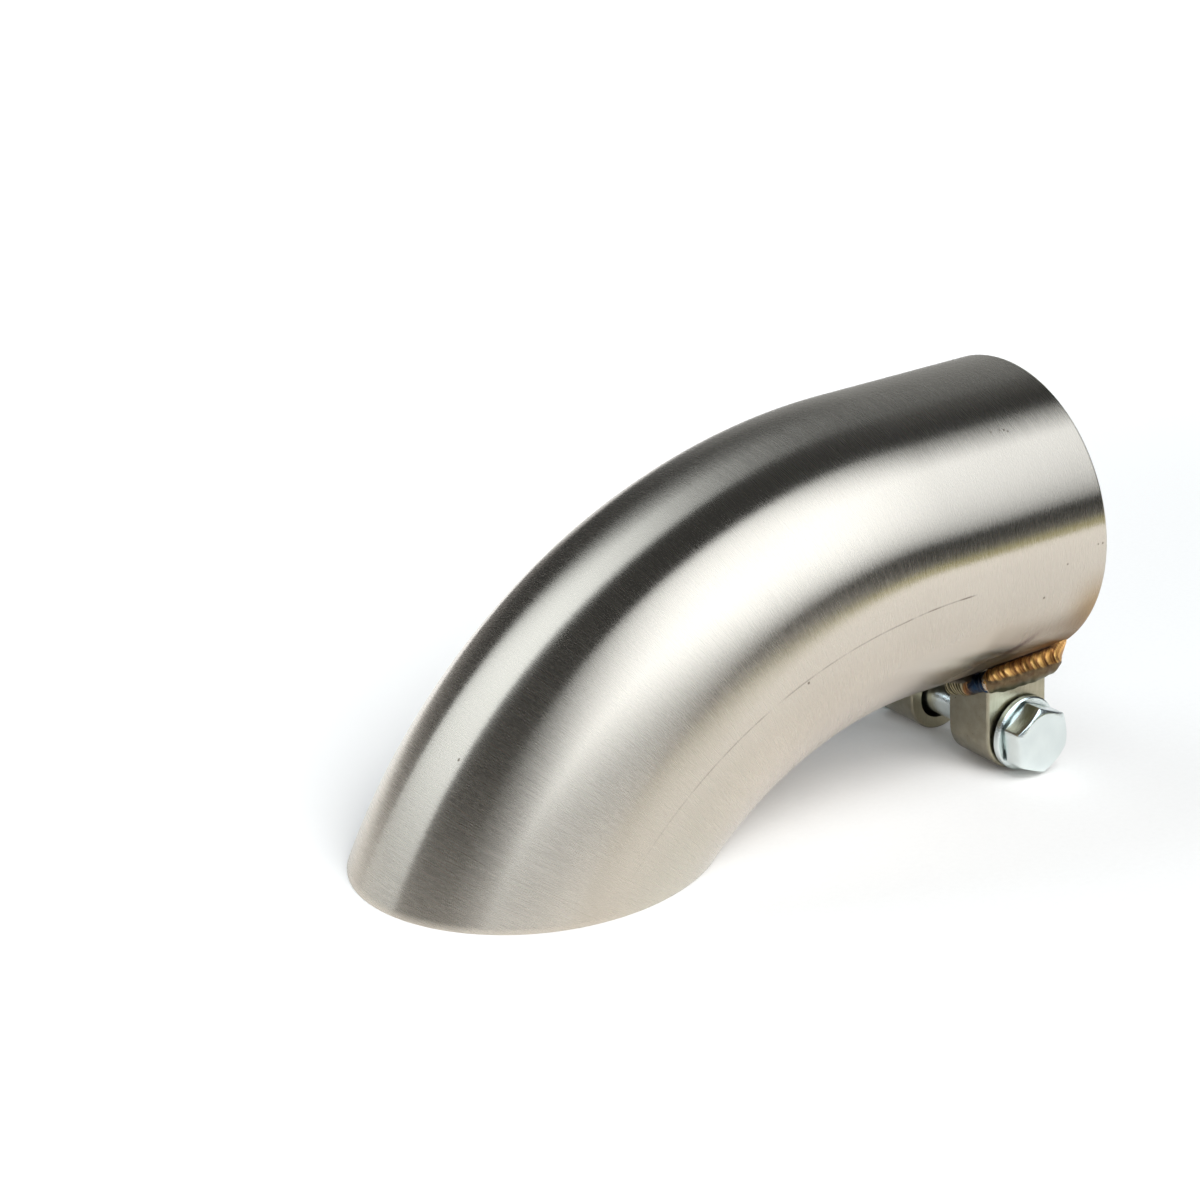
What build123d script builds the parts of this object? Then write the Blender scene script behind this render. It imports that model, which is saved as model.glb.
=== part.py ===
"""Clamp-on turn-down exhaust tip: a bent tube with two welded lugs that a bolt draws together."""
import os
from math import cos, radians, sin, sqrt, tan

from build123d import *

# Driving dimensions, in millimetres and degrees

# Tube
pipe_diameter = 60.3        # outside of the tailpipe that the inlet slides over
slip_clearance = 0.1        # between the tailpipe and the inlet, on the radius
wall = 1.5
inlet_length = 38.0         # straight stretch before the bend
inlet_rise = 4.0            # climb of the inlet's axis above the plane of the outlet
bend_radius = 100.0         # of the tube's centre line

# Slit that lets the inlet close on the tailpipe
slit_width = 6.0
slit_length = 30.0

# Clamp lugs
lug_gap = 12.4
lug_thickness = 12.5
lug_width = 15.7
lug_setback = 12.2          # hole's axis behind the inlet's mouth
lug_reach = 10.8            # hole's axis below the underside of the tube
lug_edge_radius = 0.6
bolt_hole_clearance = 1.2   # around the bolt, on the radius

# Weld beads
weld_radius = 3.3           # of the bead along the outer face of a lug
weld_stand = 2.4            # its centre line, off the tube
front_weld_radius = 3.0     # of the bead along the end of a lug nearest the mouth
front_weld_stand = 1.4      # its centre line, off the tube
back_weld_radius = 2.3      # of the bead along the other end
back_weld_stand = 1.8       # its centre line, off the tube
front_puddle_radius = 3.7   # at the corner of a lug nearest the mouth
back_puddle_radius = 3.0    # at its other corner
ripple_pitch = 1.6
ripple_depth = 0.3

# Bolt, nut and washers
bolt_diameter = 8.0
bolt_skew = 2.6             # lean of the bolt in its oversize holes, its head towards the mouth
bolt_lift = 0.25            # bolt above the middle of the holes
head_flats = 13.0
head_height = 5.3           # with its collar
head_collar_diameter = 11.8
head_collar_height = 0.6
head_turn = 35.7            # how far the head has been turned
nut_flats = 13.0
nut_height = 6.5
thread_clearance = 0.05     # between nut and bolt, on the radius
thread_tip = 5.9            # bolt beyond the nut
tip_chamfer = 1.0
hex_face_inset = 0.4        # round face of a hex end, inside its flats
hex_chamfer_angle = 30.0
washer_diameter = 16.0
washer_thickness = 1.6
washer_clearance = 0.2      # around the bolt, on the radius
washer_edge_chamfer = 0.3
rim_gap = 0.02              # between the lug and the edge of the washer that leans to it

# Sizes that follow
bore_radius = pipe_diameter / 2 + slip_clearance
tube_radius = bore_radius + wall
lug_drop = tube_radius + lug_reach
lug_outside = lug_gap / 2 + lug_thickness
washer_lean = (washer_diameter / 2 - washer_edge_chamfer) * sin(radians(bolt_skew))
washer_seat = (lug_outside + washer_lean + rim_gap) / cos(radians(bolt_skew))
grip = 2 * (washer_seat + washer_thickness)
bolt_length = grip + nut_height + thread_tip

# The outlet is cut level with the ends of the lugs, so that the tip stands on both
outlet_drop = lug_setback * sin(radians(inlet_rise)) + lug_drop * cos(radians(inlet_rise)) + lug_width / 2

# Planes: the mouth looks out of the inlet, with its X across the tube and its Y up
mouth_axis = (cos(radians(inlet_rise)), 0, sin(radians(inlet_rise)))
mouth = Plane(origin=(0, 0, 0), x_dir=(0, 1, 0), z_dir=mouth_axis)
bend_start = mouth.offset(-inlet_length)
outlet = Plane.XY.offset(-outlet_drop)
underside = Plane(origin=mouth.origin, x_dir=mouth.z_dir, z_dir=-mouth.y_dir)
lug_centre = mouth.from_local_coords(Vector(0, -lug_drop, -lug_setback))
lug_side = Plane(origin=lug_centre, x_dir=mouth.z_dir, z_dir=(0, -1, 0))
bolt_centre = lug_centre + mouth.y_dir * bolt_lift
bolt_axis = mouth.z_dir * sin(radians(bolt_skew)) - mouth.x_dir * cos(radians(bolt_skew))
near_side = Plane(origin=bolt_centre, x_dir=mouth.y_dir.cross(bolt_axis), z_dir=bolt_axis)
far_side = Plane(origin=bolt_centre, x_dir=near_side.x_dir, z_dir=-bolt_axis)
bend_axis = Axis(bend_start.from_local_coords(Vector(0, -bend_radius, 0)), (0, -1, 0))
standing = (Align.CENTER, Align.CENTER, Align.MIN)


def weld_point(across, along, stand):
    """A point off the tube's underside: so far to the near side, so far from the lug's middle, so far off the tube."""
    depth = sqrt((tube_radius + stand) ** 2 - across ** 2)
    return mouth.from_local_coords(Vector(-across, -depth, along - lug_setback))


def ripple_bar(start, end, radius):
    """A round bar of weld puddles from one point to another."""
    run = end - start
    count = round(run.length / ripple_pitch)
    step = run.length / count
    valley = radius - ripple_depth
    with BuildPart() as bar:
        with BuildSketch(Plane(origin=start, x_dir=run, z_dir=run.cross(mouth.y_dir))):
            with BuildLine():
                Polyline((0, valley), (0, 0), (run.length, 0), (run.length, valley))
                for i in range(count):
                    ThreePointArc((i * step, valley), ((i + 0.5) * step, radius), ((i + 1) * step, valley))
            make_face()
        revolve(axis=Axis(start, run))
    return bar.part


def hex_cone_radii(flats, height):
    """Radii of the cone that rounds the corners of a hex end: at its far side and at its face."""
    face_radius = flats / 2 - hex_face_inset
    return face_radius + height / tan(radians(hex_chamfer_angle)), face_radius


os.makedirs("parts", exist_ok=True)

# Bent tube: straight inlet, bend, flat outlet cut and slit
with BuildPart() as tip_tube:
    with BuildSketch(bend_start) as ring:
        Circle(tube_radius)
        Circle(bore_radius, mode=Mode.SUBTRACT)
    extrude(amount=inlet_length)
    # A quarter turn carries the bend past its outlet
    revolve(ring.sketch, axis=bend_axis, revolution_arc=90)
    split(bisect_by=outlet, keep=Keep.TOP)
    with BuildSketch(underside):
        SlotOverall(2 * slit_length, slit_width)
    extrude(amount=2 * tube_radius, mode=Mode.SUBTRACT)
tip_tube.part.label = "tip_tube"
export_step(tip_tube.part, "parts/tip_tube.step")

# Lug: round end about its hole, rounded edges, top coped to the tube
with BuildPart() as clamp_lug_near:
    with BuildSketch(lug_side.offset(lug_gap / 2)):
        Circle(lug_width / 2)
        Rectangle(lug_width, lug_drop, align=(Align.CENTER, Align.MIN))
    extrude(amount=lug_thickness)
    fillet(clamp_lug_near.faces().filter_by(Axis.Y).edges(), lug_edge_radius)
    with BuildSketch(lug_side):
        Circle(bolt_diameter / 2 + bolt_hole_clearance)
    extrude(amount=lug_outside, mode=Mode.SUBTRACT)
    with BuildSketch(mouth):
        Circle(tube_radius)
    extrude(amount=-inlet_length, mode=Mode.SUBTRACT)
clamp_lug_near.part.label = "clamp_lug_near"
export_step(clamp_lug_near.part, "parts/clamp_lug_near.step")

with BuildPart() as clamp_lug_far:
    mirror(clamp_lug_near.part, about=Plane.XZ)
clamp_lug_far.part.label = "clamp_lug_far"
export_step(clamp_lug_far.part, "parts/clamp_lug_far.step")

# Weld bead: puddles along the outer face of the lug and round both its ends
front_corner = weld_point(lug_outside, lug_width / 2, weld_stand)
back_corner = weld_point(lug_outside, -lug_width / 2, weld_stand)
front_end = weld_point(lug_gap / 2, lug_width / 2, front_weld_stand)
back_end = weld_point(lug_gap / 2, -lug_width / 2, back_weld_stand)
outer_bar = ripple_bar(back_corner, front_corner, weld_radius)
front_bar = ripple_bar(front_corner, front_end, front_weld_radius)
back_bar = ripple_bar(back_corner, back_end, back_weld_radius)

with BuildPart() as weld_bead_near:
    add([outer_bar, front_bar, back_bar])
    with Locations(front_corner):
        Sphere(front_puddle_radius)
    with Locations(back_corner):
        Sphere(back_puddle_radius)
    with BuildSketch(mouth):
        Circle(tube_radius)
    extrude(amount=-inlet_length, mode=Mode.SUBTRACT)
    add(clamp_lug_near.part, mode=Mode.SUBTRACT)
weld_bead_near.part.label = "weld_bead_near"
export_step(weld_bead_near.part, "parts/weld_bead_near.step")

with BuildPart() as weld_bead_far:
    mirror(weld_bead_near.part, about=Plane.XZ)
weld_bead_far.part.label = "weld_bead_far"
export_step(weld_bead_far.part, "parts/weld_bead_far.step")

# Bolt: hex head with rounded corners on a round collar, smooth shank and chamfered tip
head_seat = near_side.offset(grip / 2)
head_cone, head_face = hex_cone_radii(head_flats, head_height)
with BuildPart() as clamp_bolt:
    with BuildSketch(head_seat):
        Circle(head_collar_diameter / 2)
    extrude(amount=head_collar_height)
    with BuildSketch(head_seat.offset(head_collar_height)):
        RegularPolygon(head_flats / 2, 6, major_radius=False, rotation=head_turn)
    extrude(amount=head_height - head_collar_height)
    with Locations(head_seat):
        Cone(head_cone, head_face, head_height, align=standing, mode=Mode.INTERSECT)
    with BuildSketch(head_seat):
        Circle(bolt_diameter / 2)
    extrude(amount=-bolt_length)
    chamfer(clamp_bolt.faces().sort_by(Axis.Y)[-1].edges(), tip_chamfer)
clamp_bolt.part.label = "clamp_bolt"
export_step(clamp_bolt.part, "parts/clamp_bolt.step")

# Washers, one under the head and one under the nut
with BuildPart() as head_washer:
    with BuildSketch(near_side.offset(washer_seat)):
        Circle(washer_diameter / 2)
        Circle(bolt_diameter / 2 + washer_clearance, mode=Mode.SUBTRACT)
    extrude(amount=washer_thickness)
    chamfer(head_washer.edges().filter_by(GeomType.CIRCLE).sort_by(SortBy.RADIUS)[-2:], washer_edge_chamfer)
head_washer.part.label = "head_washer"
export_step(head_washer.part, "parts/head_washer.step")

with BuildPart() as nut_washer:
    mirror(head_washer.part, about=near_side)
nut_washer.part.label = "nut_washer"
export_step(nut_washer.part, "parts/nut_washer.step")

# Nut: both hex ends have rounded corners
nut_seat = far_side.offset(grip / 2)
nut_cone, nut_face = hex_cone_radii(nut_flats, nut_height)
with BuildPart() as clamp_nut:
    with BuildSketch(nut_seat):
        RegularPolygon(nut_flats / 2, 6, major_radius=False)
    extrude(amount=nut_height)
    with Locations(nut_seat):
        Cone(nut_cone, nut_face, nut_height, align=standing, mode=Mode.INTERSECT)
        Cone(nut_face, nut_cone, nut_height, align=standing, mode=Mode.INTERSECT)
    with BuildSketch(nut_seat):
        Circle(bolt_diameter / 2 + thread_clearance)
    extrude(amount=nut_height, mode=Mode.SUBTRACT)
clamp_nut.part.label = "clamp_nut"
export_step(clamp_nut.part, "parts/clamp_nut.step")
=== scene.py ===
"""Clamp-on turn-down exhaust tip in a white studio: brushed tube, tinted beads, cast lugs and zinc bolt."""
from math import cos, pi, radians, sin, sqrt, tan

import bpy
import numpy as np
from mathutils import Matrix, Vector


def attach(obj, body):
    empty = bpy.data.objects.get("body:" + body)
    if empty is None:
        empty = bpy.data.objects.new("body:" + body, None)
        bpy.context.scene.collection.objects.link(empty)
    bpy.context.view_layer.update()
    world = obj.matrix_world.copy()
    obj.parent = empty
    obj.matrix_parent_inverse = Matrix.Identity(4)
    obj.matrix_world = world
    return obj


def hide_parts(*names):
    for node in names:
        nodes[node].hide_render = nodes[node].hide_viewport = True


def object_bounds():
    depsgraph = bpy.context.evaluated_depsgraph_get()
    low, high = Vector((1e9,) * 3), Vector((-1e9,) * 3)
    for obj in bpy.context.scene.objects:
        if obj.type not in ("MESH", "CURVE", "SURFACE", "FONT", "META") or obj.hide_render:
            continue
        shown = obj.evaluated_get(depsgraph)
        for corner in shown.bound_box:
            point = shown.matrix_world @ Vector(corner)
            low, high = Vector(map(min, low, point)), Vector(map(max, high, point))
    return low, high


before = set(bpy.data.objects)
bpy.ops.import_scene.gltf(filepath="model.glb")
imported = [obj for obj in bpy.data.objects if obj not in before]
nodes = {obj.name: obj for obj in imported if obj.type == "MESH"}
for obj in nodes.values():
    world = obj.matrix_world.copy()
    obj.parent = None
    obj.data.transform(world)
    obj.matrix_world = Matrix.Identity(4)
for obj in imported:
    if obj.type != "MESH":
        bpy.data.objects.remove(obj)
cad_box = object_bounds()
scene = bpy.context.scene
scene.view_settings.view_transform = "Standard"

# Sizes of the solids, in millimetres and radians
MM = 0.001
RISE = radians(4.0)
INLET = 38.0
BEND = 100.0
OUTER = 31.75
BORE = 30.25
SLIT_HALF = 3.0
SLIT_LENGTH = 30.0
LUG_WIDTH = 15.7
LUG_INSIDE = 6.2
LUG_OUTSIDE = 18.7
LUG_SETBACK = 12.2
LUG_FRONT = LUG_SETBACK - LUG_WIDTH / 2
LUG_BACK = LUG_SETBACK + LUG_WIDTH / 2
BOLT_DROP = 42.3
BOLT_SKEW = radians(2.6)
BOLT_RADIUS = 4.0
BOLT_LENGTH = 53.778
TIP_CHAMFER = 1.0
HEAD_SEAT = 20.689
HEAD_FLATS = 13.0
HEAD_FACE = HEAD_FLATS / 2 - 0.4
HEAD_HEIGHT = 5.3
HEAD_SLOPE = tan(radians(30))
HEAD_TURN = 35.7            # degrees
COLLAR_RADIUS = 5.9
COLLAR_HEIGHT = 0.6

# Tube's mesh
TUBE_COLUMNS = 240
TUBE_ROW_STEP = 1.0
SLIT_END_ROWS = 9
BEND_ROWS = 106
MOUTH_ROWS = (0.25, 0.5)
OUTLET_ROW = 0.2            # last row of the wall, above the outlet's cut
RIM_ROWS = ((0.07, 0.06), (0.0, 0.22))      # rows round a rim: from the cut, in from the wall
SLIT_SPREAD = radians(100)  # columns turned further than this make room for the slit
TINY = 1e-6

# Weld bead, whose run goes along the front end of its lug, round the outer face and along the back end
BEAD_END = 13.5
BEAD_FRONT_TURN = 4.5
BEAD_BACK_TURN = 3.6
BEAD_STOPS = np.cumsum([0, BEAD_END, BEAD_FRONT_TURN, LUG_WIDTH, BEAD_BACK_TURN, BEAD_END])
BEAD_FRONT = BEAD_STOPS[1:3].mean()         # middle of the front corner
BEAD_BACK = BEAD_STOPS[3:5].mean()          # middle of the back corner
BEAD_STEP = 0.14
BEAD_COLUMNS = 45
BEAD_TIP = 1.8              # length over which an end closes
BEAD_SOFT = 13              # steps over which its sizes are smoothed
BEAD_START = radians(-97)   # angle at which a section starts on the lug, from its way out
BEAD_STEEPEST = 2.0         # largest angle at which it ends on the tube, in radians
BEAD_HALVINGS = 24          # halvings that find this angle
BEAD_SEED = 11
TOE_SINK = 0.15             # its end, inside the tube's face
MOUTH_GAP = 0.15            # beads stay this far behind the mouth
CRESCENTS = 50
CRESCENT_PITCH = (0.9, 2.6)
CRESCENT_DEPTH = 0.16
CRESCENT_LEAD = 8.0         # the first ones lie before the start of the run
CRESCENT_BOW = 2.2
CRESCENT_MIDDLE = 0.76      # share of the way from lug to tube at which they bow most
TAIL_CRESCENT = 29          # from this one on they are closer
TAIL_PITCH = 0.6
TAIL_LEAN = 3.0
BELLY_LIFT = 0.55           # share of the way from lug to tube that is the smooth belly

# Details of the bolt
HEX_SECTOR = np.array([0, 0.7, 1.6, 4, 9, 18, 30, 42, 51, 56, 58.4, 59.3])      # columns of a flat, degrees
HEX_CORNER_CUT = 0.09
HEX_SOFT = 0.1
EDGE_SOFT = 0.05            # at the head's face and the collar
SHANK_STEP = 3.0
THREAD_START = 31.0
THREAD_PITCH = 1.25
THREAD_DEPTH = 0.62
THREAD_CREST = 1 / 8        # flats of crest and root, as shares of the pitch
THREAD_ROOT = 1 / 4
THREAD_RUNOUT = 1.5         # pitches
THREAD_ROWS = 10            # rows in a pitch

# Places
ALONG = np.array([cos(RISE), 0, sin(RISE)])
UP = np.array([-sin(RISE), 0, cos(RISE)])
ACROSS = np.array([0.0, 1.0, 0.0])
BEND_START = -INLET * ALONG
BEND_CENTRE = BEND_START - BEND * UP
BOLT_CENTRE = -LUG_SETBACK * ALONG - BOLT_DROP * UP
BOLT_AXIS = sin(BOLT_SKEW) * ALONG - cos(BOLT_SKEW) * ACROSS
BOLT_SIDE = np.cross(UP, BOLT_AXIS)
FLOOR = cad_box[0][2] / MM

# Studio, in metres and degrees
STUDIO_CENTRE = Vector((-0.07, 0.0, -0.01))
KEY_AZIMUTH = -85.6
KEY_ELEVATION = 50.8
FLOOR_HALF = 6.0
GLOW_CENTRE = (0.15, -0.25)     # where the floor glows least
WORLD_STRENGTH = 0.05

# Camera: its place in metres, its angles in radians, its lens and sensor in millimetres
CAMERA_PLACE = (-0.351275, -0.393557, 0.171545)
CAMERA_AZIMUTH = radians(57.445)
CAMERA_DROP = radians(20.35)
CAMERA_LENS = 78.47
CAMERA_SENSOR = 36.0


# Node graphs

class Graph:
    """A material's nodes, added one call at a time."""

    def __init__(self, name):
        self.material = bpy.data.materials.new(name)
        self.material.use_nodes = True
        self.tree = self.material.node_tree
        self.shader = self.tree.nodes["Principled BSDF"]

    def node(self, kind, **settings):
        made = self.tree.nodes.new(kind)
        for key, value in settings.items():
            setattr(made, key, value)
        return made

    def put(self, socket, value):
        if isinstance(value, bpy.types.NodeSocket):
            self.tree.links.new(value, socket)
        elif value is not None:
            socket.default_value = value

    def set(self, **sockets):
        """Values for the shader's own sockets."""
        for name, value in sockets.items():
            self.put(self.shader.inputs[name.replace("_", " ")], value)

    def math(self, operation, a, b=None):
        made = self.node("ShaderNodeMath", operation=operation)
        self.put(made.inputs[0], a)
        self.put(made.inputs[1], b)
        return made.outputs[0]

    def plus(self, a, b):
        return self.math("ADD", a, b)

    def minus(self, a, b):
        return self.math("SUBTRACT", a, b)

    def times(self, first, *others):
        product = first
        for other in others:
            product = self.math("MULTIPLY", product, other)
        return product

    def off(self, value, place):
        """How far a value is from a place, either way."""
        return self.math("ABSOLUTE", self.minus(value, place))

    def past(self, value, place):
        """How far a value is beyond a place, and 0 before it."""
        return self.math("MAXIMUM", self.minus(value, place), 0.0)

    def vector(self, operation, a, b=None, scale=None):
        made = self.node("ShaderNodeVectorMath", operation=operation)
        self.put(made.inputs[0], a)
        self.put(made.inputs[1], b)
        if operation == "SCALE":
            self.put(made.inputs["Scale"], scale)
        return made.outputs["Value" if operation == "LENGTH" else "Vector"]

    def combine(self, x, y, z=0.0):
        made = self.node("ShaderNodeCombineXYZ")
        for socket, value in zip(made.inputs, (x, y, z)):
            self.put(socket, value)
        return made.outputs[0]

    def reach(self, x, y):
        """Length of a way with these two parts."""
        return self.vector("LENGTH", self.combine(x, y))

    def place(self):
        return self.node("ShaderNodeTexCoord").outputs["Object"]

    def normal(self):
        return self.node("ShaderNodeNewGeometry").outputs["Normal"]

    def map(self, name):
        """The two places of a mesh's map."""
        split = self.node("ShaderNodeSeparateXYZ")
        self.put(split.inputs[0], self.node("ShaderNodeUVMap", uv_map=name).outputs[0])
        return split.outputs[0], split.outputs[1]

    def noise(self, place, scale=1.0, detail=2.0, rough=0.5):
        made = self.node("ShaderNodeTexNoise")
        self.put(made.inputs["Vector"], place)
        self.put(made.inputs["Scale"], scale)
        self.put(made.inputs["Detail"], detail)
        self.put(made.inputs["Roughness"], rough)
        return made.outputs["Fac"]

    def streak(self, x, y, x_scale, y_scale, seed=0.0, detail=2.0, rough=0.5):
        """Noise drawn out along one of two places."""
        place = self.combine(self.times(x, x_scale), self.times(y, y_scale), seed)
        return self.noise(place, detail=detail, rough=rough)

    def band(self, value, low, high, bottom=0.0, top=1.0):
        """A smooth change from bottom to top, while the value goes from low to high."""
        made = self.node("ShaderNodeMapRange", interpolation_type="SMOOTHSTEP")
        for socket, number in zip(made.inputs, (value, low, high, bottom, top)):
            self.put(socket, number)
        return made.outputs[0]

    def ramp(self, value, stops):
        made = self.node("ShaderNodeValToRGB")
        self.put(made.inputs[0], value)
        elements = made.color_ramp.elements
        while len(elements) < len(stops):
            elements.new(0.5)
        for element, (place, colour) in zip(elements, stops):
            element.position = place
            element.color = (*colour, 1.0)
        return made.outputs[0]

    def mix(self, share, a, b, blend="MIX"):
        made = self.node("ShaderNodeMix", data_type="RGBA", blend_type=blend)
        self.put(made.inputs[0], share)
        self.put(made.inputs[6], (*a, 1.0) if isinstance(a, tuple) else a)
        self.put(made.inputs[7], (*b, 1.0) if isinstance(b, tuple) else b)
        return made.outputs[2]

    def tint(self, colour, share, shade):
        """The colour multiplied by a shade where the share is 1."""
        return self.mix(share, colour, shade, "MULTIPLY")

    def bump(self, height, distance, normal=None):
        made = self.node("ShaderNodeBump")
        self.put(made.inputs["Height"], height)
        self.put(made.inputs["Distance"], distance)
        self.put(made.inputs["Strength"], 1.0)
        self.put(made.inputs["Normal"], normal)
        return made.outputs[0]


# Meshes

def quads(index):
    """Faces of a grid of vertex numbers."""
    return np.stack([index[:-1, :-1], index[:-1, 1:], index[1:, 1:], index[1:, :-1]], -1).reshape(-1, 4)


def make_object(name, points, faces, smooth_angle):
    """A piece in metres from points in millimetres, smooth apart from its sharp edges."""
    mesh = bpy.data.meshes.new(name)
    mesh.from_pydata((np.asarray(points) * MM).tolist(), [], [list(map(int, face)) for face in faces])
    mesh.update()
    mesh.shade_smooth()
    mesh.set_sharp_from_angle(angle=radians(smooth_angle))
    made = bpy.data.objects.new(name, mesh)
    scene.collection.objects.link(made)
    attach(made, "root")
    return made


def add_map(mesh, name, places):
    """A map from a pair of numbers for each corner of each face."""
    layer = mesh.uv_layers.new(name=name)
    layer.data.foreach_set("uv", np.asarray(places, np.float32).ravel())


# Tube

def tube_place(s, turn, radius):
    """Points on the tube: so far from the mouth along the centre line, turned so far from the top."""
    angle = np.clip((s - INLET) / BEND, 0, None)[..., None]
    out = UP * np.cos(angle) - ALONG * np.sin(angle)
    straight = np.clip(s, None, INLET)[..., None]
    centre = -straight * ALONG + np.where(angle > 0, BEND_CENTRE + BEND * out - BEND_START, 0)
    return centre + radius * (out * np.cos(turn)[..., None] + ACROSS * np.sin(turn)[..., None])


def inlet_rows():
    """Places of the rows along the straight inlet, closer at the mouth and round the slit's end."""
    round_end = SLIT_LENGTH - SLIT_HALF
    return np.concatenate([MOUTH_ROWS, np.arange(TUBE_ROW_STEP, round_end, TUBE_ROW_STEP),
                           round_end + SLIT_HALF * np.sin(np.linspace(0, pi / 2, SLIT_END_ROWS)),
                           np.arange(SLIT_LENGTH + TUBE_ROW_STEP, INLET, TUBE_ROW_STEP)])


def tube_rows(inlet, bend):
    """Places, turns and radius of each row round the wall: outside, outlet's rim, bore and mouth's rim."""
    base = np.linspace(-pi, pi, TUBE_COLUMNS + 1)
    spread = np.clip((np.abs(base) - SLIT_SPREAD) / (pi - SLIT_SPREAD), 0, 1) * np.sign(base)
    rows = []

    def inlet_row(s, radius):
        past = max(s - (SLIT_LENGTH - SLIT_HALF), 0.0)
        half = sqrt(max(SLIT_HALF ** 2 - past ** 2, 0.0)) if s < SLIT_LENGTH else 0.0
        rows.append((np.full(TUBE_COLUMNS + 1, s), base - spread * np.arcsin(half / radius), radius))

    def bend_row(share, radius, height=OUTLET_ROW):
        cut = np.arccos((FLOOR + height - BEND_CENTRE[2]) / (BEND + radius * np.cos(base))) - RISE
        rows.append((INLET + BEND * cut * share, base, radius))

    for s in inlet:
        inlet_row(s, OUTER)
    for share in bend:
        bend_row(share, OUTER)
    for height, inset in RIM_ROWS:
        bend_row(1.0, OUTER - inset, height)
    for height, inset in RIM_ROWS[::-1]:
        bend_row(1.0, BORE + inset, height)
    for share in bend[::-1]:
        bend_row(share, BORE)
    for s in inlet[::-1]:
        inlet_row(s, BORE)
    for s, inset in RIM_ROWS:
        inlet_row(s, BORE + inset)
    for s, inset in RIM_ROWS[::-1]:
        inlet_row(s, OUTER - inset)
    return rows


def build_tube():
    """The bent tube as one closed grid of rows, with the slit left open."""
    inlet = inlet_rows()
    bend = np.linspace(0, 1, BEND_ROWS)
    rows = tube_rows(inlet, bend)
    points = np.array([tube_place(s, turn, radius) for s, turn, radius in rows]).reshape(-1, 3)
    lengths = np.array([s for s, turn, radius in rows])
    turns = np.array([turn for s, turn, radius in rows])

    # Rows past the slit close on themselves
    corner = np.arange(lengths.size).reshape(lengths.shape)
    number = corner.copy()
    closed = lengths[:, 0] >= SLIT_LENGTH - TINY
    number[closed, -1] = number[closed, 0]
    faces = quads(np.vstack([number, number[:1]])).tolist()
    corners = quads(np.vstack([corner, corner[:1]])).tolist()
    rim = len(RIM_ROWS)
    first_inside = len(inlet) + len(bend) + 2 * rim
    last_inside = first_inside + len(inlet) + len(bend) - 1
    inside_rows = np.zeros(len(rows), bool)
    inside_rows[first_inside - 1:last_inside + 1] = True
    inside = np.repeat(inside_rows, TUBE_COLUMNS).tolist()

    # Walls of the slit, between the outside and the bore
    slit_rows = int((inlet < SLIT_LENGTH + TINY).sum())
    rings = [[k, k + 1, last_inside - k - 1, last_inside - k] for k in range(slit_rows - 1)]
    rings.append([last_inside, 0] + [last_inside + k for k in range(2 * rim, 0, -1)])
    for column, order in ((0, 1), (TUBE_COLUMNS, -1)):
        for ring in rings:
            faces.append([int(number[k, column]) for k in ring][::order])
            corners.append([int(corner[k, column]) for k in ring][::order])
            inside.append(False)

    # Faces that have closed up are left out, and so are points that no face has
    keep = [k for k, face in enumerate(faces) if len(set(face)) == len(face)]
    used, flat_faces = np.unique(np.concatenate([faces[k] for k in keep]), return_inverse=True)
    ends = np.cumsum([len(faces[k]) for k in keep])
    made = make_object("tip_tube_brushed", points[used], np.split(flat_faces, ends[:-1]), smooth_angle=50.0)
    order = np.concatenate([corners[k] for k in keep])
    add_map(made.data, "tube", np.stack([lengths.ravel()[order], turns.ravel()[order] * OUTER], 1) * MM)
    made.data.polygons.foreach_set("material_index", np.array([inside[k] for k in keep], np.int32))
    return made


# Weld beads

def bead_sizes(run):
    """Each section's middle off the tube, its radii at lug, middle and tube, and how open it is."""
    left = np.minimum(run, run[-1] - run) + 0.02
    close = np.sqrt(1 - np.clip(1 - left / BEAD_TIP, 0, 1) ** 2)
    # Place along the run, middle off the tube, radii at lug, middle and tube
    stations = np.array([(0, 1.3, 2.6, 2.6, 3.0),
                         (BEAD_FRONT - 4, 1.5, 2.4, 2.9, 3.6),
                         (BEAD_FRONT - 0.8, 1.9, 2.2, 3.3, 6.2),
                         (BEAD_FRONT + 2, 2.3, 3.1, 3.1, 3.9),
                         (BEAD_FRONT + 9, 2.4, 3.5, 3.0, 3.2),
                         (BEAD_BACK - 5, 2.4, 3.2, 2.9, 3.0),
                         (BEAD_BACK, 2.4, 2.2, 2.4, 2.8),
                         (BEAD_BACK + 4, 2.1, 2.5, 2.0, 2.6),
                         (BEAD_STOPS[-1], 2.0, 2.7, 1.9, 2.4)])
    soft = np.hanning(BEAD_SOFT) / np.hanning(BEAD_SOFT).sum()
    lines = [np.interp(run, stations[:, 0], sizes) for sizes in stations[:, 1:].T]
    return [np.convolve(np.pad(line, BEAD_SOFT // 2, "edge"), soft, "valid") * close for line in lines], close


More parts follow.
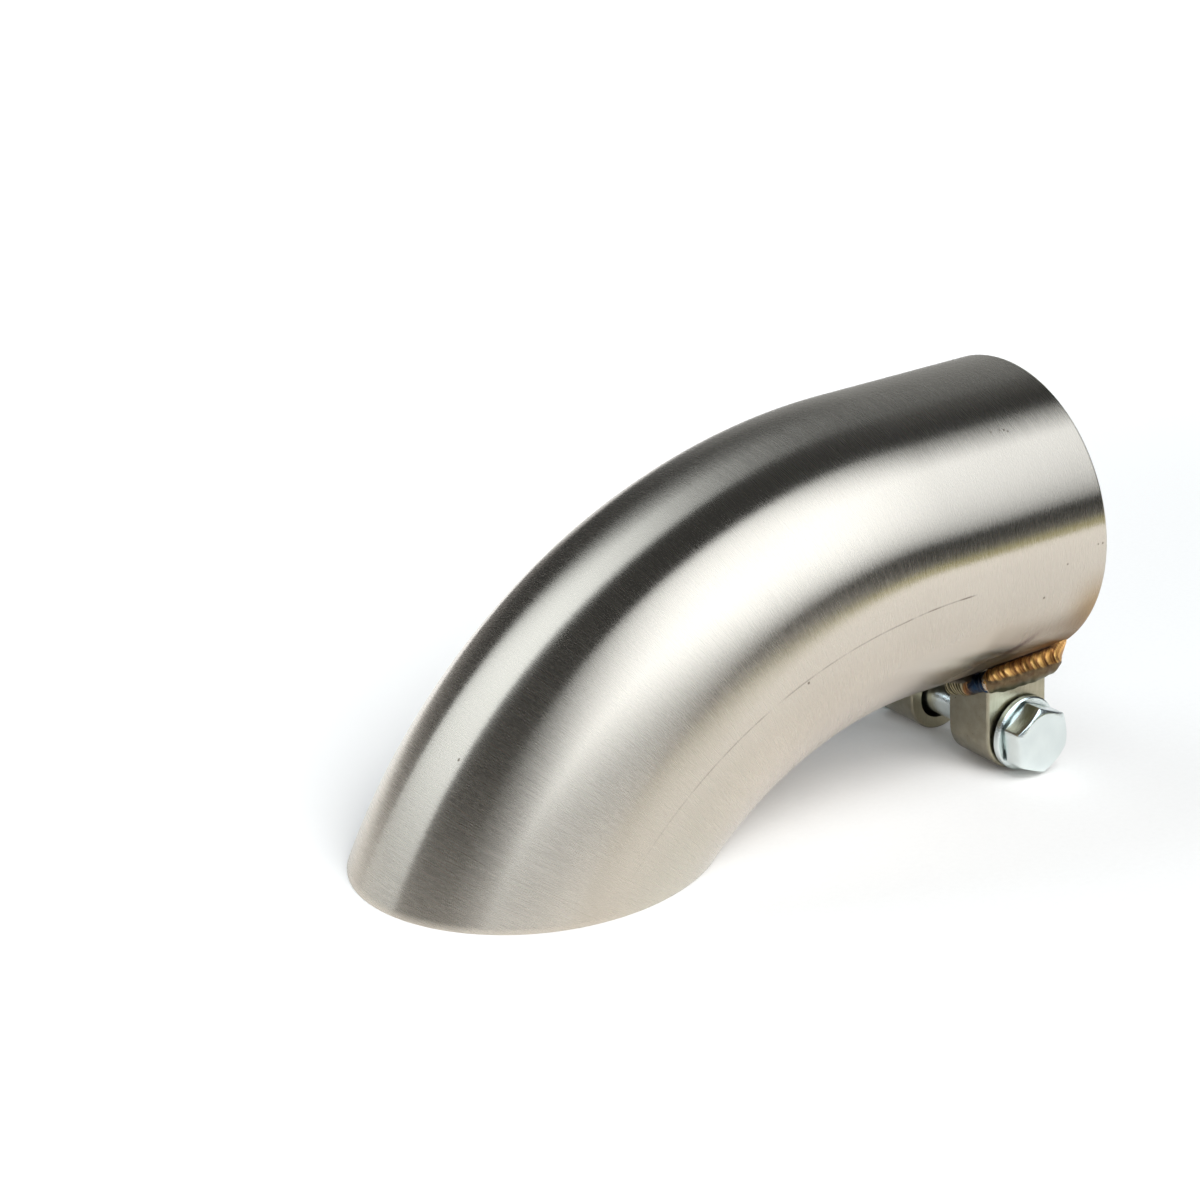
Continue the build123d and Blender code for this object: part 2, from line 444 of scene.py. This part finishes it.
def bead_frame(run, stand, toe_size, side):
    """Middle of each section, its way out from the lug, and the angle at which it meets the tube."""
    y = np.interp(run, BEAD_STOPS[[0, 1, 4, 5]], [LUG_INSIDE, LUG_OUTSIDE, LUG_OUTSIDE, LUG_INSIDE])
    setback = np.interp(run, BEAD_STOPS[[2, 3]], [LUG_FRONT, LUG_BACK])
    facing = np.radians(np.interp(run, BEAD_STOPS[1:5], [90, 0, 0, -90]))
    drop = np.sqrt((OUTER + stand) ** 2 - y ** 2)
    centre = -setback[:, None] * ALONG - drop[:, None] * UP + side * y[:, None] * ACROSS
    out = np.cos(facing)[:, None] * side * ACROSS + np.sin(facing)[:, None] * ALONG
    low, high = np.zeros(len(run)), np.full(len(run), BEAD_STEEPEST)
    for _ in range(BEAD_HALVINGS):
        middle = (low + high) / 2
        tip = centre + toe_size[:, None] * (np.cos(middle)[:, None] * out + np.sin(middle)[:, None] * UP)
        outside = np.hypot(tip @ ACROSS, tip @ UP) > OUTER - TOE_SINK
        low, high = np.where(outside, middle, low), np.where(outside, high, middle)
    return centre, out, high


def bead_crescents(run, lift):
    """Each point's share of the way across its crescent, the crescent's tone, and its ripple's height."""
    chance = np.random.default_rng(BEAD_SEED)
    closer = np.where(np.arange(CRESCENTS) < TAIL_CRESCENT, 1.0, TAIL_PITCH)
    edges = np.cumsum(chance.uniform(*CRESCENT_PITCH, CRESCENTS) * closer) - CRESCENT_LEAD

    # They bow towards the back above the lug's outer face, and lean on its back end
    above = lift - CRESCENT_MIDDLE
    fall = np.where(above > 0, CRESCENT_BOW * (above / (1 - CRESCENT_MIDDLE)) ** 2, 0.5 * (above / 0.16) ** 2)
    tail = np.interp(run, [BEAD_BACK + 1, BEAD_BACK + 5], [0.0, 1.0])[:, None]
    slant = np.clip(CRESCENT_BOW - fall, 0, None) * (1 - tail) + TAIL_LEAN * lift * tail
    phase = np.interp(run[:, None] - slant, edges, np.arange(float(CRESCENTS)))
    share = np.mod(phase, 1.0)
    number = np.floor(phase).astype(int)
    tone = chance.uniform(0, 1, CRESCENTS + 1)[number]
    tall = chance.uniform(0.5, 1.2, CRESCENTS + 1)[number]

    # Smooth on the belly and at the toe
    belly = np.interp(run, [BEAD_BACK + 1, BEAD_BACK + 4], [BELLY_LIFT, 0.1])[:, None]
    toe = np.interp(lift, [0.85, 1.0], [1.0, 0.0])
    tail_toe = np.interp(lift, [0.68, 0.76], [1.0, 0.0])
    rippled = np.clip((lift - belly) / 0.1, 0, 1) * (toe * (1 - tail) + tail_toe * tail)
    return share, tone, CRESCENT_DEPTH * tall * rippled * (np.sin(pi * share ** 1.9) - 0.7)


def build_bead(name, side):
    """A weld bead round the outside of a lug, from its front end to its back end, in crescents."""
    run = np.arange(0, BEAD_STOPS[-1], BEAD_STEP)
    lift = np.linspace(0, 1, BEAD_COLUMNS)
    (stand, low_size, middle_size, toe_size), close = bead_sizes(run)
    centre, out, toe_angle = bead_frame(run, stand, toe_size, side)
    share, tone, ripple = bead_crescents(run, lift)

    # Sections from the lug round to the tube, kept behind the mouth
    angle = (BEAD_START + (toe_angle[:, None] - BEAD_START) * lift)[..., None]
    lumps = 0.09 * np.sin(run[:, None] * 0.9 + 3 * lift) + 0.05 * np.sin(run[:, None] * 2.3 - 5 * lift + 1.0)
    size = (middle_size[:, None]
            + (low_size - middle_size)[:, None] * np.clip(1 - lift / BELLY_LIFT, 0, 1) ** 1.3
            + (toe_size - middle_size)[:, None] * np.clip((lift - 0.7) / 0.3, 0, 1) ** 1.7
            + close[:, None] * (ripple + lumps * np.clip(4 - 4 * lift, 0, 1)))
    points = centre[:, None] + size[..., None] * (np.cos(angle) * out[:, None] + np.sin(angle) * UP)
    past_mouth = np.clip(points @ ALONG + MOUTH_GAP, 0, None)
    points -= past_mouth[..., None] * ALONG

    # Each section closes through the corner between lug and tube
    points = np.concatenate([points, centre[:, None]], 1)
    count, across = points.shape[:2]
    number = np.arange(count * across).reshape(count, across)
    loop = np.concatenate([number, number[:, :1]], 1)
    if side > 0:
        loop = loop[:, ::-1]
    faces = quads(loop).tolist() + [loop[0, :-1].tolist(), loop[-1, :-1][::-1].tolist()]
    made = make_object(name, points.reshape(-1, 3), faces, smooth_angle=60.0)

    order = np.concatenate(faces)
    full_run = np.repeat(run[:, None], across, 1).ravel()
    full_lift = np.tile(np.append(lift, 0.0), count)
    add_map(made.data, "bead", np.stack([full_run * MM, full_lift], 1)[order])
    full_share, full_tone = [np.pad(values, ((0, 0), (0, 1))).ravel() for values in (share, tone)]
    add_map(made.data, "crescent", np.stack([full_share, full_tone], 1)[order])
    return made


# Bolt

def head_rings(turn):
    """Radii and heights of the rings from the head's face to the shank, with softened edges."""
    offset = np.radians(np.tile(np.abs(30 - HEX_SECTOR), 6))
    hexagon = np.minimum(HEAD_FLATS / 2 / np.cos(offset), HEAD_FLATS / sqrt(3) - HEX_CORNER_CUT)
    ring = np.ones_like(turn)
    cut = HEAD_HEIGHT - (hexagon - HEAD_FACE) * HEAD_SLOPE
    foot = COLLAR_HEIGHT + HEX_SOFT
    rings = [(radius * ring, HEAD_HEIGHT * ring) for radius in (2.0, 4.0, HEAD_FACE - 0.3)]
    rings += [((HEAD_FACE + EDGE_SOFT) * ring, (HEAD_HEIGHT - EDGE_SOFT) * ring),
              (hexagon - 0.14, cut + 0.14 * HEAD_SLOPE),
              (hexagon - 0.04, cut - 0.01),
              (hexagon, cut - HEX_SOFT)]
    rings += [(hexagon, foot + share * (cut - HEX_SOFT - foot)) for share in (0.75, 0.5, 0.25)]
    rings += [(hexagon, foot * ring),
              (hexagon - HEX_SOFT, COLLAR_HEIGHT * ring),
              ((COLLAR_RADIUS + 0.02) * ring, COLLAR_HEIGHT * ring),
              (COLLAR_RADIUS * ring, (COLLAR_HEIGHT - EDGE_SOFT) * ring),
              (COLLAR_RADIUS * ring, 0 * ring),
              (BOLT_RADIUS * ring, 0 * ring)]
    return rings


def shank_rings(turn):
    """Radii and heights of the rings along the smooth shank, the thread and the chamfered tip."""
    ring = np.ones_like(turn)
    smooth = np.arange(SHANK_STEP, THREAD_START, SHANK_STEP)
    rings = [(BOLT_RADIUS * ring, -length * ring) for length in smooth]
    flank_start = (1 - THREAD_CREST) / 2
    flank = (1 - THREAD_CREST - THREAD_ROOT) / 2
    for length in np.arange(THREAD_START, BOLT_LENGTH + TINY, THREAD_PITCH / THREAD_ROWS):
        phase = np.mod(length / THREAD_PITCH - turn / (2 * pi), 1.0)
        groove = np.clip((flank_start - np.abs(phase - 0.5)) / flank, 0, 1)
        start = min((length - THREAD_START) / (THREAD_RUNOUT * THREAD_PITCH), 1.0)
        tip = BOLT_RADIUS - TIP_CHAMFER + (BOLT_LENGTH - length)
        rings.append((np.minimum(BOLT_RADIUS - THREAD_DEPTH * start * groove, tip), -length * ring))
    return rings


def build_bolt():
    """The bolt as one grid of rings: hex head on a collar, shank, thread and tip."""
    turn = np.radians(HEAD_TURN + (np.arange(6)[:, None] * 60 + HEX_SECTOR).ravel())
    rings = head_rings(turn) + shank_rings(turn)
    radius = np.array([ring[0] for ring in rings])
    height = np.array([ring[1] for ring in rings])
    points = (BOLT_CENTRE + (HEAD_SEAT + height)[..., None] * BOLT_AXIS
              + radius[..., None] * (np.cos(turn)[:, None] * BOLT_SIDE + np.sin(turn)[:, None] * UP))
    ends = [BOLT_CENTRE + (HEAD_SEAT + reach) * BOLT_AXIS for reach in (HEAD_HEIGHT, -BOLT_LENGTH)]
    count, columns = radius.shape
    number = np.arange(count * columns).reshape(count, columns)
    loop = np.concatenate([number, number[:, :1]], 1)
    head, tip = count * columns, count * columns + 1
    faces = quads(loop)[:, ::-1].tolist()
    faces += [[head, loop[0, k], loop[0, k + 1]] for k in range(columns)]
    faces += [[tip, loop[-1, k + 1], loop[-1, k]] for k in range(columns)]
    points = np.concatenate([points.reshape(-1, 3), ends])
    return make_object("clamp_bolt_threaded", points, faces, smooth_angle=40.0)


# Materials

def turned(degrees):
    """Distance round the tube for a turn from its top, in millimetres."""
    return radians(degrees) * OUTER


def tube_coordinates(g):
    """Place along the tube and round it, in millimetres, from the tube's map."""
    length, arc = g.map("tube")
    return g.times(length, 1 / MM), g.times(arc, 1 / MM)


def spot(g, s, arc, place, turn, size):
    """A small round mark on the tube."""
    off = g.reach(g.minus(s, place), g.minus(arc, turned(turn)))
    return g.band(off, size, 0.4 * size)


def brushed_normal(g, fine, broad):
    """The normal tipped round the tube by the brushing, and the tangent along the tube."""
    tilt = g.plus(g.times(g.minus(fine, 0.5), 0.020), g.times(g.minus(broad, 0.5), 0.010))
    normal = g.normal()
    tangent = g.node("ShaderNodeTangent", direction_type="UV_MAP", uv_map="tube").outputs[0]
    round_way = g.vector("CROSS_PRODUCT", normal, tangent)
    tipped = g.vector("ADD", normal, g.vector("SCALE", round_way, scale=tilt))
    return g.vector("NORMALIZE", tipped), tangent


def weld_distances(g, s, arc, side):
    """Distances from the beads: all round, longer past their ends, and from the burnt metal."""
    heat_middle = LUG_SETBACK + 2.2
    heat_half = LUG_WIDTH / 2 + 2.0
    toe = turned(143.4)
    past_ends = g.past(g.off(s, heat_middle), heat_half)
    past_toe = g.past(toe, side)
    past_burn = g.past(past_toe, g.times(g.band(s, 7.0, 23.0), 4.8))
    cloud = g.minus(g.streak(s, arc, 0.12, 0.12, 11.0, 3.0), 0.5)
    away = g.plus(g.reach(past_ends, past_toe), g.times(cloud, 7.0))
    beside = g.plus(g.reach(g.times(past_ends, 2.5), past_toe), g.times(cloud, 4.0))
    burn = g.plus(g.reach(past_ends, past_burn), g.times(cloud, 1.6))
    return away, beside, burn


def heat_tints_and_painted_shade(g, steel, s, side, away, beside):
    """Straw and grey that the welding left on the tube, painted shade on its underside, and a violet streak
    and a dark zone above the bead that are painted reflections.
    """
    steel = g.tint(steel, g.band(away, 24.0, 5.0), (0.95, 0.88, 0.78))
    steel = g.tint(steel, g.band(beside, 19.0, 11.0), (0.67, 0.64, 0.61))
    steel = g.tint(steel, g.band(away, 5.0, 1.5), (0.8, 0.68, 0.56))
    # Painted shade: the underside is painted a little darker
    steel = g.tint(steel, g.band(side, turned(105), turned(122)), (0.93, 0.93, 0.94))
    # Painted reflection: a thin violet streak above the bead stands in for a dark reflection in the tube
    slanting = g.minus(s, g.times(g.minus(side, turned(123.5)), 1.5))
    violet = g.times(g.band(g.off(slanting, 14.0), 3.2, 0.4), g.band(s, 12.0, 17.0), g.band(s, 25.0, 20.0))
    steel = g.tint(steel, violet, (0.48, 0.38, 0.40))
    # Painted reflection: a dark zone above the bead, where the tube reflects the dark parts beneath it
    painted_reflection = g.times(g.band(side, turned(122), turned(133)), g.band(s, 14.0, 22.0), g.band(s, 56.0, 24.0))
    return g.tint(steel, painted_reflection, (0.5, 0.49, 0.46))


def seam_and_pits(g, steel, s, arc):
    """The tube's own seam, a thin broken line that is darkest at its start, and a few pits."""
    seam_turn = g.plus(turned(-92.9), g.times(turned(0.066), g.past(s, 52.0)))
    broken = g.band(g.streak(s, arc, 0.16, 0.0, 5.0, 3.0), 0.36, 0.56, 0.1, 1.0)
    span = g.times(g.band(s, 33.0, 36.0), g.band(s, 140.0, 85.0), g.band(s, 54.0, 44.0, 0.55, 1.0))
    seam = g.times(g.band(g.off(arc, seam_turn), 0.24, 0.06), broken, span)
    steel = g.tint(steel, seam, (0.42, 0.38, 0.37))
    for place, turn, size in ((1.2, -88.6, 0.3), (2.4, -88.4, 0.25), (10.4, -92.4, 0.3), (15.8, -103.4, 0.38),
                              (76.0, -92.4, 0.4), (123.6, -13.2, 0.35), (15.8, -38.9, 0.3),
                              (16.4, -37.9, 0.35), (17.4, -37.5, 0.25), (19.5, -37.3, 0.25)):
        steel = g.tint(steel, spot(g, s, arc, place, turn, size), (0.4, 0.37, 0.34))
    return steel


def brushed_stainless():
    """The outside of the tube."""
    g = Graph("brushed_stainless_tube")
    s, arc = tube_coordinates(g)
    side = g.math("ABSOLUTE", arc)
    fine = g.streak(s, arc, 5.0, 0.11, 0.0, 3.0, 0.6)
    broad = g.streak(s, arc, 1.1, 0.05, 7.0)
    patch = g.streak(s, arc, 0.06, 0.05, 3.0)
    steel = g.ramp(g.plus(g.times(fine, 0.6), g.times(patch, 0.4)),
                   [(0.3, (0.628, 0.560, 0.479)), (0.7, (0.682, 0.612, 0.526))])

    # Heat colours, and burnt metal that has lost its gloss along the beads
    away, beside, burn = weld_distances(g, s, arc, side)
    steel = heat_tints_and_painted_shade(g, steel, s, side, away, beside)
    oxide = g.band(burn, 3.6, 2.0)
    burnt = g.ramp(g.band(s, 11.0, 19.0), [(0.0, (0.16, 0.105, 0.065)), (1.0, (0.05, 0.036, 0.02))])
    steel = g.mix(oxide, steel, burnt)

    # The lower half is browner at the mouth and greyer towards the outlet
    rim = g.times(g.band(s, 11.0, 0.5), g.band(side, turned(94), turned(118)))
    steel = g.tint(steel, rim, (0.70, 0.56, 0.38))
    grey = g.times(g.band(s, 85.0, 125.0), g.band(side, turned(80), turned(105)))
    steel = g.tint(steel, grey, (0.91, 0.945, 0.95))
    steel = seam_and_pits(g, steel, s, arc)

    # Duller over the heat, smoother on the underside behind it
    below = g.times(g.band(side, turned(108), turned(128)), g.band(s, 18.0, 25.0), g.band(s, 60.0, 40.0))
    rough = g.minus(g.band(away, 10.0, 2.0, 0.23, 0.45), g.times(below, 0.07))
    normal, tangent = brushed_normal(g, fine, broad)
    g.set(Base_Color=steel, Anisotropic=1.0, Specular_IOR_Level=0.15, Normal=normal, Tangent=tangent)
    g.set(Metallic=g.minus(1.0, g.times(oxide, 0.85)), Roughness=g.plus(rough, g.times(fine, 0.08)))
    return g.material


def bore_stainless():
    """The inside of the tube, drawn along its length."""
    g = Graph("bore_stainless")
    s, arc = tube_coordinates(g)
    draw = g.streak(s, arc, 0.08, 3.0, 0.0, 3.0, 0.6)
    patch = g.streak(s, arc, 0.1, 0.1, 5.0)
    steel = g.ramp(patch, [(0.3, (0.44, 0.42, 0.385)), (0.7, (0.53, 0.505, 0.46))])
    g.set(Base_Color=steel, Metallic=1.0, Roughness=g.plus(0.34, g.times(draw, 0.16)),
          Normal=g.bump(draw, 0.00003))
    return g.material


def cast_stainless():
    """The lugs: drawn marks on the sides that face across, and cast ends painted darker than those sides,
    partly a rougher finish and partly painted shade.
    """
    g = Graph("cast_stainless_lug")
    place = g.place()
    grain = g.noise(place, 2600.0, 3.0, 0.6)
    lumps = g.noise(place, 420.0)
    drawn = g.noise(g.vector("MULTIPLY", place, (2400.0, 2400.0, 160.0)))
    shade = g.plus(g.times(lumps, 0.6), g.times(drawn, 0.4))
    lit_faced_sides = g.ramp(shade, [(0.3, (0.37, 0.335, 0.24)), (0.7, (0.48, 0.435, 0.32))])
    shaded_cast_ends = g.ramp(lumps, [(0.3, (0.265, 0.24, 0.18)), (0.7, (0.34, 0.31, 0.235))])
    # Painted shade: faces that do not face across take the darker colour, a rougher cast finish with painted
    # shade on top
    split = g.node("ShaderNodeSeparateXYZ")
    g.put(split.inputs[0], g.normal())
    side = g.band(g.math("ABSOLUTE", split.outputs[1]), 0.75, 0.97)
    g.set(Base_Color=g.mix(side, shaded_cast_ends, lit_faced_sides), Metallic=1.0)
    g.set(Roughness=g.plus(0.22, g.times(grain, 0.16)),
          Normal=g.bump(grain, 0.00003, g.bump(lumps, 0.00012)))
    return g.material


def crescent_colours(g, run, lift, share, tone, uneven):
    """Crescents in heat colours, gold, paler on the lug's front end and olive on its back end, with painted
    highlights along their raised edges and painted shade in the gaps between them.
    """
    pale_end, gold_start, olive_start = 13.5, 18.0, 42.6
    across = g.plus(share, g.times(uneven, 0.35))
    # Painted light: each ramp is bright near a crescent's raised edge and dark in the gaps, over the weld's
    # own colour
    gold = g.ramp(across, [(0.02, (0.12, 0.05, 0.03)), (0.16, (0.31, 0.165, 0.067)),
                           (0.36, (0.50, 0.31, 0.11)), (0.44, (0.27, 0.14, 0.058)),
                           (0.56, (0.48, 0.295, 0.105)), (0.78, (0.62, 0.415, 0.15)),
                           (0.88, (0.78, 0.56, 0.235)), (0.99, (0.18, 0.08, 0.042))])
    gold = g.tint(gold, g.times(tone, 0.7), (0.7, 0.56, 0.5))
    pale = g.ramp(across, [(0.02, (0.36, 0.22, 0.11)), (0.45, (0.62, 0.43, 0.20)),
                           (0.85, (0.86, 0.67, 0.38)), (0.99, (0.42, 0.27, 0.13))])
    olive = g.ramp(across, [(0.1, (0.03, 0.027, 0.022)), (0.45, (0.17, 0.145, 0.08)),
                            (0.8, (0.78, 0.68, 0.43)), (0.99, (0.06, 0.05, 0.035))])
    colour = g.mix(g.band(run, gold_start, pale_end), gold, pale)
    colour = g.tint(colour, 1.0, (0.93, 0.80, 0.70))
    # Painted light: brighter towards the tube, where the tube's overhang shades the crescents
    colour = g.tint(colour, g.band(lift, 0.68, 0.92), (1.4, 1.38, 1.3))
    return g.mix(g.band(run, olive_start, olive_start + 1.4), colour, olive)


def weld_metal():
    """The beads: crescents, a burnt back corner, a smooth belly on the lug and a painted shadow line along
    the tube.
    """
    g = Graph("weld_metal_tinted")
    length, lift = g.map("bead")
    share, tone = g.map("crescent")
    run = g.times(length, 1 / MM)
    cloud = g.noise(g.place(), 800.0, 3.0, 0.6)
    uneven = g.minus(cloud, 0.5)
    colour = crescent_colours(g, run, lift, share, tone, uneven)

    # Blue and black, behind a pale line, where the weld came to its back corner
    blue_start, blue_end, black_end = 37.1, 40.0, 41.2
    ragged = g.plus(run, g.times(uneven, 2.6))
    corner = g.plus(ragged, g.times(g.minus(0.72, lift), 4.0))
    pale_line = g.times(g.band(corner, blue_start - 0.4, blue_start - 0.15),
                        g.band(corner, blue_start + 0.3, blue_start + 0.05))
    colour = g.mix(pale_line, colour, (0.42, 0.38, 0.31))
    start = g.band(corner, blue_start, blue_start + 0.5)
    black = g.ramp(cloud, [(0.35, (0.022, 0.02, 0.03)), (0.65, (0.07, 0.055, 0.05))])
    colour = g.mix(g.times(start, g.band(ragged, black_end + 1.0, black_end)), colour, black)
    blue = g.ramp(cloud, [(0.4, (0.004, 0.010, 0.03)), (0.6, (0.018, 0.048, 0.105))])
    blue_share = g.times(start, g.band(ragged, blue_end + 1.4, blue_end), g.band(lift, 0.92, 0.8))
    colour = g.mix(blue_share, colour, blue)

    # Violet and olive on the belly, grey at the top of the back end, and a painted shadow line along the tube
    violet = g.ramp(cloud, [(0.35, (0.118, 0.072, 0.041)), (0.65, (0.20, 0.144, 0.08))])
    edge = g.plus(lift, g.times(uneven, 0.12))
    low_edge = g.plus(edge, g.band(corner, blue_start - 0.8, blue_start, 0.0, 0.5))
    colour = g.mix(g.band(low_edge, 0.65, 0.59), colour, violet)
    colour = g.mix(g.band(low_edge, 0.50, 0.32), colour, (0.15, 0.13, 0.07))
    colour = g.mix(g.times(g.band(edge, 0.68, 0.76), g.band(run, 40.0, 42.0)), colour, (0.22, 0.19, 0.15))
    # Painted shadow in the crease where the bead meets the tube
    colour = g.mix(g.times(g.band(edge, 0.90, 0.98), g.band(run, 15.5, 19.0)), colour, (0.11, 0.062, 0.05))
    g.set(Base_Color=colour, Metallic=1.0, Roughness=g.plus(0.32, g.times(cloud, 0.2)),
          Normal=g.bump(cloud, 0.00005))
    return g.material


def zinc_plate():
    """The bolt, the nut and the washers."""
    g = Graph("zinc_plated_steel")
    place = g.place()
    cloud = g.noise(place, 260.0, 3.0, 0.55)
    grain = g.noise(place, 3000.0)
    zinc = g.ramp(cloud, [(0.3, (0.74, 0.80, 0.79)), (0.7, (0.83, 0.89, 0.875))])
    g.set(Base_Color=zinc, Metallic=1.0, Roughness=g.plus(0.17, g.times(cloud, 0.14)),
          Normal=g.bump(grain, 0.00004, g.bump(cloud, 0.0001)))
    return g.material


def floor_paper():
    """White paper that glows for the camera and the metal, less so in front of the mouth and far off."""
    g = Graph("floor_paper")
    path = g.node("ShaderNodeLightPath")
    seen = g.math("MAXIMUM", path.outputs["Is Camera Ray"],
                  g.math("MAXIMUM", path.outputs["Is Glossy Ray"], path.outputs["Is Transmission Ray"]))
    near, far = [g.vector("LENGTH", g.vector("SUBTRACT", g.place(), (x, y, FLOOR * MM)))
                 for x, y in (GLOW_CENTRE, STUDIO_CENTRE.xy)]
    glow = g.times(g.band(near, 0.28, 0.75, 0.05, 0.6), g.band(far, 1.5, 1.25))
    fibre = g.noise(g.place(), 900.0)
    paper = g.ramp(fibre, [(0.3, (0.915, 0.885, 0.85)), (0.7, (0.935, 0.905, 0.87))])
    g.set(Base_Color=paper, Roughness=0.9, Specular_IOR_Level=0.0, Emission_Color=(1.0, 1.0, 1.0, 1.0))
    g.set(Emission_Strength=g.times(seen, glow))
    return g.material


# Studio

def sky_frame(azimuth, elevation):
    """The way out to a direction in degrees, with the ways right and up across it."""
    turn = radians(azimuth)
    climb = radians(elevation)
    out = Vector((cos(climb) * cos(turn), cos(climb) * sin(turn), sin(climb)))
    right = Vector((-sin(turn), cos(turn), 0))
    return out, right, out.cross(right)


def build_lamp(name, azimuth, elevation, half_width, half_height, roll, radiance, colour, distance=2.0):
    """A soft box at a direction from the tip, sized by its half tangents, that no gloss shows."""
    out, right, top = sky_frame(azimuth, elevation)
    turn = radians(roll)
    x = right * cos(turn) + top * sin(turn)
    y = top * cos(turn) - right * sin(turn)
    data = bpy.data.lights.new(name, "AREA")
    data.shape = "RECTANGLE"
    data.size = 2 * half_width * distance
    data.size_y = 2 * half_height * distance
    data.energy = radiance * pi * data.size * data.size_y
    data.color = colour
    made = bpy.data.objects.new(name, data)
    made.visible_glossy = False
    scene.collection.objects.link(made)
    rotation = Matrix((x, y, out)).transposed().to_4x4()
    made.matrix_world = Matrix.Translation(STUDIO_CENTRE + out * distance) @ rotation


def build_card(name, azimuth, elevation, corners, radiance, colour, distance=2.0, lights=True):
    """A glowing card at a direction from the tip, by the tangents of its corners."""
    out, right, top = sky_frame(azimuth, elevation)
    points = [STUDIO_CENTRE + (out + right * u + top * v) * distance for u, v in corners]
    mesh = bpy.data.meshes.new(name)
    mesh.from_pydata([tuple(point) for point in points], [], [range(len(points))])
    g = Graph(name)
    g.set(Base_Color=(0, 0, 0, 1), Specular_IOR_Level=0.0)
    g.set(Emission_Color=(*colour, 1.0), Emission_Strength=radiance)
    mesh.materials.append(g.material)
    made = bpy.data.objects.new(name, mesh)
    made.visible_camera = False
    made.visible_shadow = False
    made.visible_diffuse = lights
    scene.collection.objects.link(made)


def build_floor():
    """A large sheet of paper that the tip stands on."""
    mesh = bpy.data.meshes.new("floor")
    signs = ((-1, -1), (1, -1), (1, 1), (-1, 1))
    corners = [(x * FLOOR_HALF, y * FLOOR_HALF, FLOOR * MM) for x, y in signs]
    mesh.from_pydata(corners, [], [(0, 1, 2, 3)])
    mesh.materials.append(floor_paper())
    floor = bpy.data.objects.new("floor", mesh)
    scene.collection.objects.link(floor)


def build_world():
    """A faint even light from all round."""
    world = bpy.data.worlds.new("studio")
    world.use_nodes = True
    background = world.node_tree.nodes["Background"]
    background.inputs["Color"].default_value = (0.9, 0.97, 1.0, 1.0)
    background.inputs["Strength"].default_value = WORLD_STRENGTH
    scene.world = world


def build_camera():
    """The camera that was fitted to the photograph."""
    camera = bpy.data.cameras.new("camera")
    camera.sensor_width = CAMERA_SENSOR
    camera.lens = CAMERA_LENS
    camera.clip_start = 0.01
    camera.clip_end = 50.0
    eye = bpy.data.objects.new("camera", camera)
    scene.collection.objects.link(eye)
    level = cos(CAMERA_DROP)
    look = Vector((level * cos(CAMERA_AZIMUTH), level * sin(CAMERA_AZIMUTH), -sin(CAMERA_DROP)))
    eye.location = CAMERA_PLACE
    eye.rotation_euler = look.to_track_quat("-Z", "Y").to_euler()
    scene.camera = eye


# Pieces
cast = cast_stainless()
weld = weld_metal()
zinc = zinc_plate()

tube = build_tube()
tube.data.materials.append(brushed_stainless())
tube.data.materials.append(bore_stainless())
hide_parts("tip_tube")

for place, side in (("near", -1), ("far", 1)):
    bead = build_bead(f"weld_bead_{place}_rippled", side)
    bead.data.materials.append(weld)
    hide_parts(f"weld_bead_{place}")

bolt = build_bolt()
bolt.data.materials.append(zinc)
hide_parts("clamp_bolt")

for name, material in (("clamp_lug_near", cast), ("clamp_lug_far", cast), ("head_washer", zinc),
                       ("nut_washer", zinc), ("clamp_nut", zinc)):
    mesh = nodes[name].data
    mesh.materials.clear()
    mesh.materials.append(material)

# Studio round the tip: its cards are shaped by what the photograph's metal reflects
build_floor()
build_card("key_card", KEY_AZIMUTH, KEY_ELEVATION, radiance=2.18, colour=(0.93, 1.02, 1.11),
           corners=[(-0.84, -0.33), (0.486, -0.76), (0.755, 0.25),
                    (0.45, 0.42), (0.12, 0.585), (-0.5, 0.66)])
build_lamp("floor_lamp", KEY_AZIMUTH, KEY_ELEVATION, half_width=0.32, half_height=0.28, roll=-19.0,
           radiance=4.8, colour=(1.0, 0.985, 0.965))
build_card("cool_card", azimuth=126.3, elevation=37.2, radiance=1.6, colour=(0.92, 1.03, 1.12),
           corners=[(-0.211, -0.522), (0.592, -0.291), (-0.063, 0.639), (-0.349, 0.338)])
build_card("far_card", azimuth=30.0, elevation=12.0, radiance=0.5, colour=(0.95, 1.0, 1.02),
           corners=[(-0.386, -0.689), (0.818, -0.64), (0.694, 0.09), (-0.067, 0.398)])
build_card("table_edge", azimuth=-52.0, elevation=0.0, radiance=0.3, colour=(1.0, 0.96, 0.05),
           corners=[(-0.6, -0.045), (-0.05, -0.06), (0.04, -0.07),
                    (0.4, -0.075), (0.4, 0.012), (-0.6, 0.012)], distance=0.6, lights=False)
# Painted shade: a dark card that stands in for the shaded floor behind the tip, as the metal reflects it
build_card("dark_card", azimuth=93.0, elevation=0.0, radiance=0.12, colour=(1.0, 1.0, 1.0),
           corners=[(-0.33, -0.135), (0.56, -0.135), (0.56, 0.1), (-0.33, 0.1)],
           distance=0.3, lights=False)
build_world()
build_camera()
